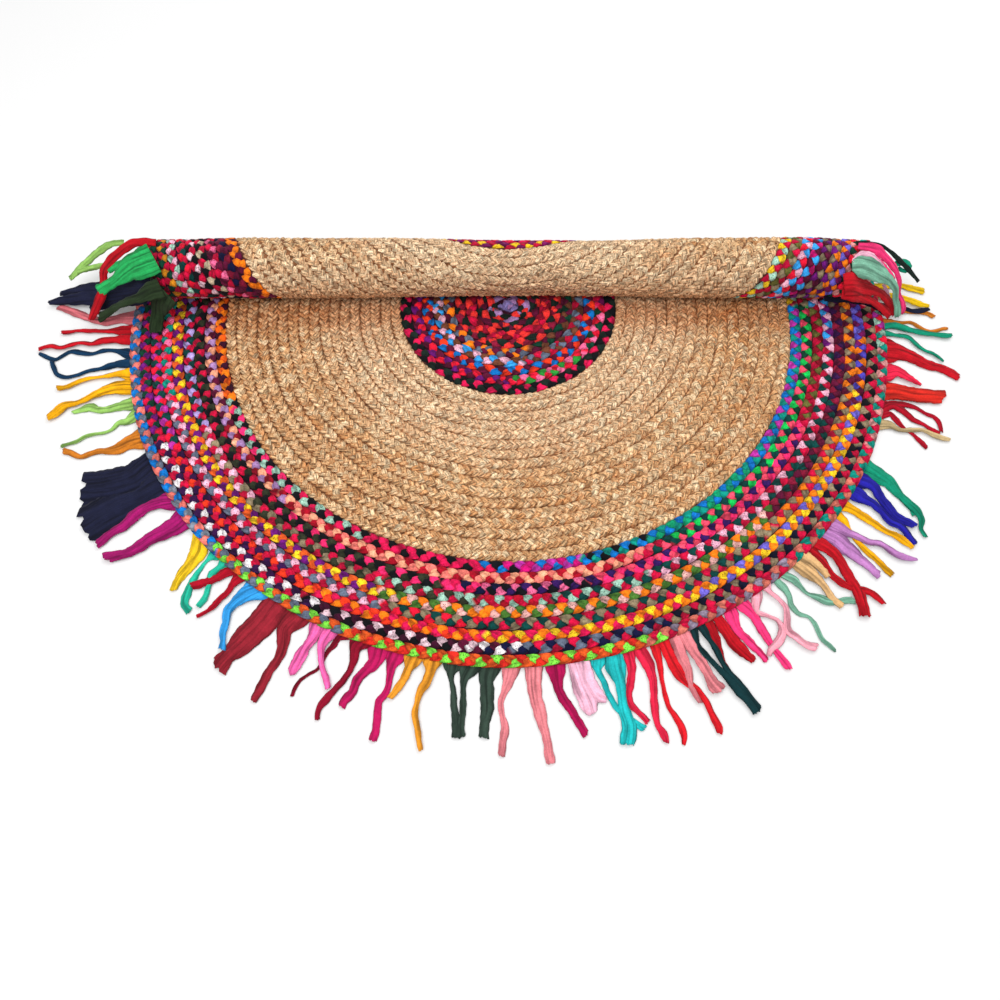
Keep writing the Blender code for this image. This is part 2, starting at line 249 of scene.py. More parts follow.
# scales are along the strand, round it and from strand to strand
juteLook = {"roughness": 0.8, "specular": 0.2,
            "fibre": 0.0024, "fibreScale": (70, 520, 60), "fibreTone": (0.34, 1.34, 0.36, 0.62),
            "hair": 0.0014, "hairScale": (160, 1700, 90), "hairTone": (0.62, 1.24, 0.35, 0.6),
            "clumpScale": 150, "clumpTone": (0.8, 1.15), "fleckScale": 420,
            "flecks": [(0.34, 0.62, 0.38, 0.26), (0.47, 1, 1, 1), (0.66, 1.16, 1.18, 1.2)]}


def juteMaterial(name, look):
    material, tree, shader = newMaterial(name)
    tint = addNode(tree, "ShaderNodeAttribute", attribute_name="tint").outputs["Color"]
    grain = addNode(tree, "ShaderNodeAttribute", attribute_name="grain").outputs["Vector"]
    place = addNode(tree, "ShaderNodeTexCoord").outputs["Object"]
    fibre = stretchedNoise(tree, grain, look["fibreScale"], 4)
    hair = stretchedNoise(tree, grain, look["hairScale"], 2)
    clump = stretchedNoise(tree, place, [look["clumpScale"]] * 3, 4)
    light = ranged(tree, fibre, *look["fibreTone"])
    fine = ranged(tree, hair, *look["hairTone"])
    colour = shaded(tree, shaded(tree, tint, light), ranged(tree, clump, *look["clumpTone"]))
    # rusty flecks deep between the fibres, and pale ones on them
    flecks = addNode(tree, "ShaderNodeValToRGB")
    tree.links.new(stretchedNoise(tree, place, [look["fleckScale"]] * 3), flecks.inputs["Fac"])
    for stop, *fleck in look["flecks"]:
        mark = flecks.color_ramp.elements.new(stop)
        mark.color = (*fleck, 1)
    flecks.color_ramp.elements.remove(flecks.color_ramp.elements[0])
    flecks.color_ramp.elements.remove(flecks.color_ramp.elements[-1])
    colour = shaded(tree, colour, flecks.outputs["Color"])
    tree.links.new(shaded(tree, colour, fine), shader.inputs["Base Color"])
    coarse = bumped(tree, fibre, 1.0, look["fibre"])
    tree.links.new(bumped(tree, hair, 0.8, look["hair"], coarse), shader.inputs["Normal"])
    shader.inputs["Roughness"].default_value = look["roughness"]
    shader.inputs["Specular IOR Level"].default_value = look["specular"]
    return material


plaitCotton = cottonMaterial("plaitedCotton", cottonLook, (45, 330, 40))
ragCotton = cottonMaterial("tornCotton", ragLook, (14, 230, 40))
juteFibre = juteMaterial("juteFibre", juteLook)
print("materials made")


# Plaits

def strandProfile(name, look):
    # flattened round section that is swept along each strand
    section = bpy.data.curves.new(name, "CURVE")
    section.dimensions = "2D"
    outline = section.splines.new("POLY")
    corners, width, height = look["corners"], look["strand"], look["thick"]
    outline.points.add(corners - 1)
    outline.use_cyclic_u = True
    for i, point in enumerate(outline.points):
        a = fullTurn * (i + 0.5) / corners
        c, s = math.cos(a), math.sin(a)
        squash = look["square"]   # below 1 gives the flat top of a folded rag
        x = math.copysign(abs(c) ** squash, c) * width / 2
        y = math.copysign(abs(s) ** squash, s) * height / 2
        point.co = (x, y, 0, 1)
    return bpy.data.objects.new(name, section)


# hand-made rows wander: drift goes along the row, in radians of a plait, and wobble across it, in metres
sway = {"drift": (0.9, 0.5), "wobble": (0.0006, 0.0005), "pointed": 0.985, "steep": 0.6, "swell": 0.05}


def plaitRows(name, rows, look, colourOf):
    # every row is a ring of three strands; returns the mesh, still flat
    seed = np.random.default_rng(look["seed"])
    curve = bpy.data.curves.new(name, "CURVE")
    curve.dimensions = "3D"
    curve.twist_mode = "Z_UP"
    curve.bevel_mode = "OBJECT"
    curve.bevel_object = strandProfile(name + "Section", look)
    tints, grains, centres = [], [], []
    for row, ringRadius in rows:
        periods = round(fullTurn * ringRadius / look["period"])
        count = periods * look["points"]
        even = fullTurn * np.arange(count) / count
        far, near = sway["drift"]
        drift = far * np.sin(3 * even + row) + near * np.sin(11 * even + 2 * row)
        turn = even + seed.uniform(0, 1) + drift / periods
        far, near = sway["wobble"]
        wobble = far * np.sin(7 * even + 0.9 * row) + near * np.sin(17 * even + 1.7 * row)
        for strand in range(3):
            phase = -periods * even + strand * fullTurn / 3
            loose = lobeNoise(np.floor(phase / math.pi + 1e-6), row * 3 + strand)
            zigzag = np.arcsin(sway["pointed"] * np.sin(phase)) / math.asin(sway["pointed"])
            side = ringRadius + wobble + look["swing"] * zigzag * (1 + look["stray"] * loose)
            wave = np.sin(2 * phase)
            lift = look["lift"] * np.sign(wave) * np.abs(wave) ** sway["steep"]
            lift = lift * (1 + 2 * look["stray"] * loose)
            swell = 1 + sway["swell"] * wave + look["uneven"] * loose
            spline = curve.splines.new("POLY")
            spline.points.add(count - 1)
            spline.use_cyclic_u = True
            line = [side * np.cos(turn), side * np.sin(turn), roll["middle"] + lift, turn * 0 + 1]
            spline.points.foreach_set("co", np.stack(line, 1).ravel())
            spline.points.foreach_set("radius", swell)
            tints.append(colourOf(row, strand, turn, loose, seed))
            grains.append(np.stack([even * ringRadius, turn * 0 + 7.3 * row + 2.9 * strand], 1))
            centres.append(ringRadius + wobble)
    holder = bpy.data.objects.new(name + "Curve", curve)
    bpy.context.scene.collection.objects.link(holder)
    graph = bpy.context.evaluated_depsgraph_get()
    mesh = bpy.data.meshes.new_from_object(holder.evaluated_get(graph))
    bpy.data.objects.remove(holder)
    tints, grains = np.concatenate(tints), np.concatenate(grains)
    corners = look["corners"]
    if len(mesh.vertices) != len(tints) * corners:
        raise ValueError(f"{name}: {len(mesh.vertices)} points for {len(tints)} rings")
    around = np.tile(np.abs(np.arange(corners) - corners / 2) / corners * look["strand"] * 2, len(tints))
    grains = np.repeat(grains, corners, 0)
    foldEdges(mesh, np.repeat(np.concatenate(centres), corners), look)
    # both faces of the rug show, so a strand is deep where it is near the middle; there its tint gets
    # painted crevice shade, which paleBack fades on the roll
    points = readPoints(mesh)
    height = np.abs(points[:, 2] - roll["middle"])
    fading = 1 - look["paleBack"] * eased(points[:, 1], 0.06, 0.10)
    depth = np.clip(1 - height / (look["lift"] + look["thick"] * 0.4), 0, 1) * fading
    deep = 1 + (np.array(look["creviceShade"]) - 1) * (depth * depth * (3 - 2 * depth))[:, None]
    tints = np.repeat(tints, corners, 0)
    tints[:, :3] *= deep
    paint(mesh, "tint", "FLOAT_COLOR", tints)
    paint(mesh, "grain", "FLOAT_VECTOR", np.stack([grains[:, 0], around, grains[:, 1]], 1))
    return mesh


def foldEdges(mesh, centres, look):
    # a flat rag folds over at the edge of its row, so nothing of it passes the edge and it thins there
    points = readPoints(mesh)
    reach = np.hypot(points[:, 0], points[:, 1])
    half = (look["outer"] - look["inner"]) / look["rows"] / 2 * look["fill"]
    off = (reach - centres) / half
    free, bending = 0.7, 0.3   # shares of the row's half width
    bent = free + bending * np.tanh((np.abs(off) - free) / bending)
    folded = np.where(np.abs(off) < free, off, np.sign(off) * bent)
    points[:, :2] *= ((centres + folded * half) / reach)[:, None]
    thinner = 1 - look["round"] * np.abs(folded) ** 5
    points[:, 2] = roll["middle"] + (points[:, 2] - roll["middle"]) * thinner
    movePoints(mesh, points)


def lobeNoise(lobe, salt):
    # one steady number from -1 to 1 for each lobe of a strand
    values = np.random.default_rng(900 + salt).uniform(-1, 1, 997)
    return values[lobe.astype(int) % 997]


def finishPlait(name, mesh, material, nodes):
    movePoints(mesh, rollUp(readPoints(mesh)))
    shell = bmesh.new()
    shell.from_mesh(mesh)
    bmesh.ops.recalc_face_normals(shell, faces=shell.faces)
    shell.to_mesh(mesh)
    shell.free()
    piece = newPiece(name, mesh, material, nodes)
    print(name, len(mesh.polygons), "faces")
    return piece


printedDyes = ("lightPink", "palePink", "white", "yellow", "lime", "seafoam", "mint", "pink", "blushPink")


def ragColours(chart):
    # chart: for each row, the clockwise degrees from the rug's right end where a span starts, and the dyes
    # of its three strands; the fourth number of a tint is 1 on cloth with printed dots
    def colourOf(row, strand, turn, loose, seed):
        clock = (-np.degrees(turn)) % 360
        out = np.zeros((len(turn), 4))
        slip = seed.uniform(-3, 3)
        for start, names in chart[row]:
            word = names.split()[strand]
            dotted = 1.0 if word in printedDyes else 0.0
            out[clock >= (start + slip if start else 0)] = dye(word) + [dotted]
        out[:, :3] *= 1 + 0.16 * loose[:, None]
        return out
    return colourOf


# rust is the share of red, green and blue taken away by painted warm shade where the roll meets the flat
# half;
# the list after it says how strong that painted shade is, how far behind the rug's centre and how wide, in
# metres
juteTones = {"shades": ["DCB68A", "D1A678", "E6C69C", "CA9666", "D8B082", "E9CEA6", "C28C5C"],
             "pale": "F2DCBC", "paleRows": 0.36, "paleBack": 0.30, "backFrom": (0.16, 0.23),
             "rust": (0.08, 0.26, 0.36), "rollShade": [(1.2, -0.018, 0.035), (1.1, 0.28, 0.035)]}


def juteColours(row, strand, turn, loose, seed):
    shades = np.array([parts(shade) for shade in juteTones["shades"]]) ** 2.2
    drift = 0.55 * np.sin(5 * turn + 1.3 * row) + 0.45 * np.sin(13 * turn + 2.9 * row + strand)
    wander = np.clip(0.28 * loose + 0.36 * drift + 0.5, 0, 1) * (len(shades) - 1)
    low = np.floor(wander).astype(int)
    part = (wander - low)[:, None]
    mixed = shades[low] * (1 - part) + shades[np.minimum(low + 1, len(shades) - 1)] * part
    # the rows around the medallion and the back of the rug are paler
    pale = np.array(parts(juteTones["pale"])) ** 2.2
    back = (jute["inner"] + (jute["outer"] - jute["inner"]) / jute["rows"] * (row + 0.5)) * np.sin(turn)
    palerRow = juteTones["paleRows"] * np.clip((9 - row) / 5, 0, 1)
    faded = np.maximum(palerRow, juteTones["paleBack"] * eased(back, *juteTones["backFrom"]))[:, None]
    mixed = mixed * (1 - faded) + pale * faded
    # painted warm shade: browner where the roll meets the flat half
    rollShade = sum(much * np.exp(-((back - at) / wide) ** 2) for much, at, wide in juteTones["rollShade"])
    mixed = mixed * (1 - rollShade[:, None] * np.array(juteTones["rust"]))
    return np.hstack([mixed, np.zeros((len(turn), 1))])


borderChart = {
    0: [(0, "orchid teal blue"), (41, "blue teal emerald"), (65, "blue teal black"),
        (76, "blue orchid magenta"), (88, "magenta blue black"), (94, "raspberry black raspberry"),
        (115, "raspberry black seafoam"), (134, "hotPink black seafoam"),
        (156, "orange tangerine darkMaroon"), (190, "orange maroon orange"), (230, "blue teal magenta"),
        (320, "yellow crimson mint")],
    1: [(0, "brightGreen darkGreen coral"), (26, "brightGreen darkTeal coral"),
        (62, "coral crimson darkTeal"), (69, "ragCrimson peach salmon"), (134, "peach darkRed mauve"),
        (152, "mauve peach maroon"), (190, "maroon navy burgundy"), (230, "emerald coral navy"),
        (320, "taupe olive crimson")],
    2: [(0, "olive darkRed crimson"), (28, "hotPink coral deepPurple"), (78, "deepPurple black pink"),
        (94, "navy hotPink raspberry"), (101, "hotPink black darkOlive"),
        (134, "crimson black darkOlive"), (190, "maroon crimson pink"), (230, "crimson navy pink"),
        (320, "lightPink skyBlue red")],
    3: [(0, "skyBlue lightPink purple"), (8, "lightPink crimson darkTeal"),
        (35, "crimson darkTeal lightPink"), (65, "darkTeal crimson seafoam"),
        (83, "crimson ragCrimson seafoam"), (94, "darkOlive seafoam crimson"),
        (109, "crimson taupe darkOlive"), (134, "taupe lightPink crimson"),
        (152, "lavender darkTeal crimson"), (190, "beige black crimson"), (230, "olive crimson taupe"),
        (320, "skyBlue magenta maroon")],
    4: [(0, "maroon darkPurple burgundy"), (22, "darkTeal burgundy maroon"),
        (45, "oliveGreen orange blushPink"), (94, "orange oliveGreen blushPink"),
        (109, "yellow purple rust"), (190, "palePink black crimson"), (240, "orange navy olive"),
        (320, "maroon purple taupe")],
    5: [(0, "orange taupe maroon"), (26, "orange taupe crimson"), (49, "darkTeal crimson taupe"),
        (94, "red taupe darkTeal"), (109, "lightPink slate crimson"), (161, "pink teal red"),
        (190, "crimson darkTeal red"), (320, "purple taupe orange")],
    6: [(0, "periwinkle plum violetBlue"), (9, "orange violetBlue maroon"),
        (20, "yellow orange periwinkle"), (64, "orange yellow raspberry"),
        (94, "orange raspberry orangeRed"), (122, "orangeRed darkPurple crimson"),
        (152, "red orchid darkTeal"), (190, "mint lightPink crimson"), (215, "orange magenta red"),
        (320, "periwinkle plum orange")],
    7: [(0, "crimson taupe black"), (26, "crimson navyBlack taupe"), (66, "crimson navy slate"),
        (87, "navy white maroon"), (94, "palePink darkMaroon black"), (116, "white darkPurple crimson"),
        (152, "darkGreen crimson purple"), (190, "ochre darkGreen crimson"),
        (210, "navy crimson taupe"), (320, "dustyPink darkGreen red")],
}
edgeChart = {
    0: [(0, "orchid red seafoam"), (7, "teal dustyPink crimson"), (26, "teal crimson dustyCoral"),
        (50, "greyMauve crimson dustyCoral"), (71, "lime rust ragVermilion"),
        (94, "lime rust ragVermilion"), (109, "rust lime slate"), (134, "blue salmon greySlate"),
        (147, "blue salmon slate"), (181, "crimson darkGreen burgundy"), (215, "rust lime crimson"),
        (300, "teal crimson dustyPink")],
}
medallionChart = {
    0: [(0, "blueMauve mauve blueMauve")],
    1: [(0, "charcoal poppy mauve")],
    2: [(0, "poppy charcoal maroon")],
    3: [(0, "crimson poppy darkCrimson")],
    4: [(0, "poppy charcoal burgundy")],
    5: [(0, "brown darkGreen maroon"), (72, "orange slate maroon"), (240, "brown darkGreen maroon")],
    6: [(0, "brown slate crimson"), (80, "skyBlue lightPink brown"), (250, "brown slate crimson")],
    7: [(0, "blue orangeRed maroon")],
    8: [(0, "pink red darkGreen"), (41, "green pink red"), (89, "purple red maroon"),
        (230, "raspberry crimson plum")],
    9: [(0, "black charcoal raspberry"), (230, "yellow plum crimson"),
        (320, "black charcoal raspberry")],
}

# Plaits, in metres. Strand and thick are a strand's width and thickness, swing and lift how far it goes
# sideways and up, period is the length of one plait. Fill is how much of its row a plait fills, uneven and
# stray are how much its lobes differ. The crevice tint is painted shade that darkens the strands deep
# between the lobes, and paleBack is how much of that painted shade fades on the roll.
cottonPlait = {"points": 12, "corners": 8, "strand": 0.0118, "thick": 0.0028, "lift": 0.0026,
               "square": 0.4, "fill": 1.06, "round": 0.2, "uneven": 0.16, "stray": 0.09,
               "creviceShade": (0.55, 0.45, 0.5), "paleBack": 0}
border = dict(cottonPlait, inner=0.451, outer=0.584, rows=8, period=0.0435, swing=0.0074, seed=3)
medallion = dict(cottonPlait, inner=0.0, outer=0.1735, rows=10, period=0.043, swing=0.0076, seed=8)
edge = dict(cottonPlait, inner=0.584, outer=0.600, rows=1, period=0.046, swing=0.0068, seed=9,
            strand=0.0120)
# the jute's painted crevice shade is tinted rust brown and mostly fades on the roll
jute = {"inner": 0.1735, "outer": 0.451, "rows": 17, "period": 0.030, "points": 8, "corners": 6, "seed": 5,
        "strand": 0.0088, "thick": 0.0042, "swing": 0.0064, "lift": 0.0019, "square": 0.8,
        "fill": 1.2, "round": 0.15, "uneven": 0.25, "stray": 0.12, "creviceShade": (0.84, 0.61, 0.46),
        "paleBack": 0.9}
# the rows near the medallion are plaited tighter, so they are smoother and their lines show more
calmJute = dict(jute, fill=1.14, uneven=0.18, stray=0.06, lift=0.0014)


def ringsOf(look, first=0, last=None):
    step = (look["outer"] - look["inner"]) / look["rows"]
    rings = [(row, look["inner"] + step * (row + 0.5)) for row in range(look["rows"])]
    return rings[first:last]


for name, first, last in (("borderInnerPlaits", 0, 4), ("borderOuterPlaits", 4, 8)):
    mesh = plaitRows(name, ringsOf(border, first, last), border, ragColours(borderChart))
    finishPlait(name, mesh, plaitCotton, ["border_band"])
for name, first, last, look in (("juteInnerPlaits", 0, 11, calmJute), ("juteOuterPlaits", 11, 17, jute)):
    mesh = plaitRows(name, ringsOf(look, first, last), look, juteColours)
    finishPlait(name, mesh, juteFibre, ["jute_field"])
mesh = plaitRows("medallionPlaits", ringsOf(medallion), medallion, ragColours(medallionChart))
finishPlait("medallionPlaits", mesh, plaitCotton, ["centre_medallion"])
mesh = plaitRows("edgePlait", ringsOf(edge), edge, ragColours(edgeChart))
finishPlait("edgePlait", mesh, plaitCotton, ["border_band"])


# Sewn web, halfway between the rug's two faces; its dark tint is painted shade in the gaps between plaits

web = {"radius": 0.592, "rings": 39, "sectors": 240, "thick": 0.0012}


def makeWeb():
    cloth = bmesh.new()
    spokes = [cloth.verts.new((web["radius"] * i / web["rings"], 0, 0)) for i in range(web["rings"] + 1)]
    line = [cloth.edges.new(pair) for pair in zip(spokes, spokes[1:])]
    bmesh.ops.spin(cloth, geom=spokes + line, cent=(0, 0, 0), axis=(0, 0, 1), dvec=(0, 0, 0),
                   angle=fullTurn, steps=web["sectors"], use_merge=True)
    bmesh.ops.remove_doubles(cloth, verts=cloth.verts, dist=1e-5)
    bmesh.ops.recalc_face_normals(cloth, faces=cloth.faces)
    bmesh.ops.solidify(cloth, geom=cloth.faces, thickness=web["thick"])
    bmesh.ops.translate(cloth, verts=cloth.verts, vec=(0, 0, roll["middle"]))
    mesh = bpy.data.meshes.new("sewnWebGapShade")
    cloth.to_mesh(mesh)
    cloth.free()
    points = readPoints(mesh)
    reach = np.hypot(points[:, 0], points[:, 1])
    # painted shade in the gaps between plaits: brown under the jute, dark maroon under the cotton
    underJute = (reach > jute["inner"]) & (reach < jute["outer"])
    tint = np.where(underJute[:, None], dye("juteGapShade") + [0], dye("darkMaroon") + [0])
    paint(mesh, "tint", "FLOAT_COLOR", tint)
    paint(mesh, "grain", "FLOAT_VECTOR", points)
    movePoints(mesh, rollUp(points))
    return mesh


webPiece = newPiece("sewnWebGapShade", makeWeb(), plaitCotton, ["border_band"])
print("web made")


# Torn rags of the fringe. Every rag is one strip that was pulled through the edge plait, so it has one
# root and one or more tails. A root is given by its two angles on the rug, then come the dye, how high the
# rag lies and its tails. They were traced over the photo: each point is across, down and width
# there, and is cast onto the floor through the photo's view. The view stands at a place in metres and
# looks down by some degrees; lens, centre and wide are in points of the photo, sensor in millimetres.

view = {"place": (-0.013, -0.947, 1.118), "down": 62,
        "lens": 884, "centre": 500, "wide": 1000, "sensor": 36}
# valley, ridge and edgeShade set the painted shade in a rag's folds and along its edges
rag = {"root": 0.594, "thick": 0.0007, "across": 12, "step": 0.0042, "hump": 0.0022, "fold": 0.0018,
       "wrinkle": 0.0006, "ragged": 0.19, "slant": 0.3, "torn": 0.16, "rootLength": 0.016,
       "valley": 0.68, "ridge": 0.45, "edgeShade": 0.21}
laid = {"drop": 0.016, "high": 0.0014, "low": 0.0004, "level": 0.0020, "stack": 0.0005, "thigh": 0.42,
        "traced": 0.003, "turned": 0.012, "spread": 1.2, "narrowest": 0.002}

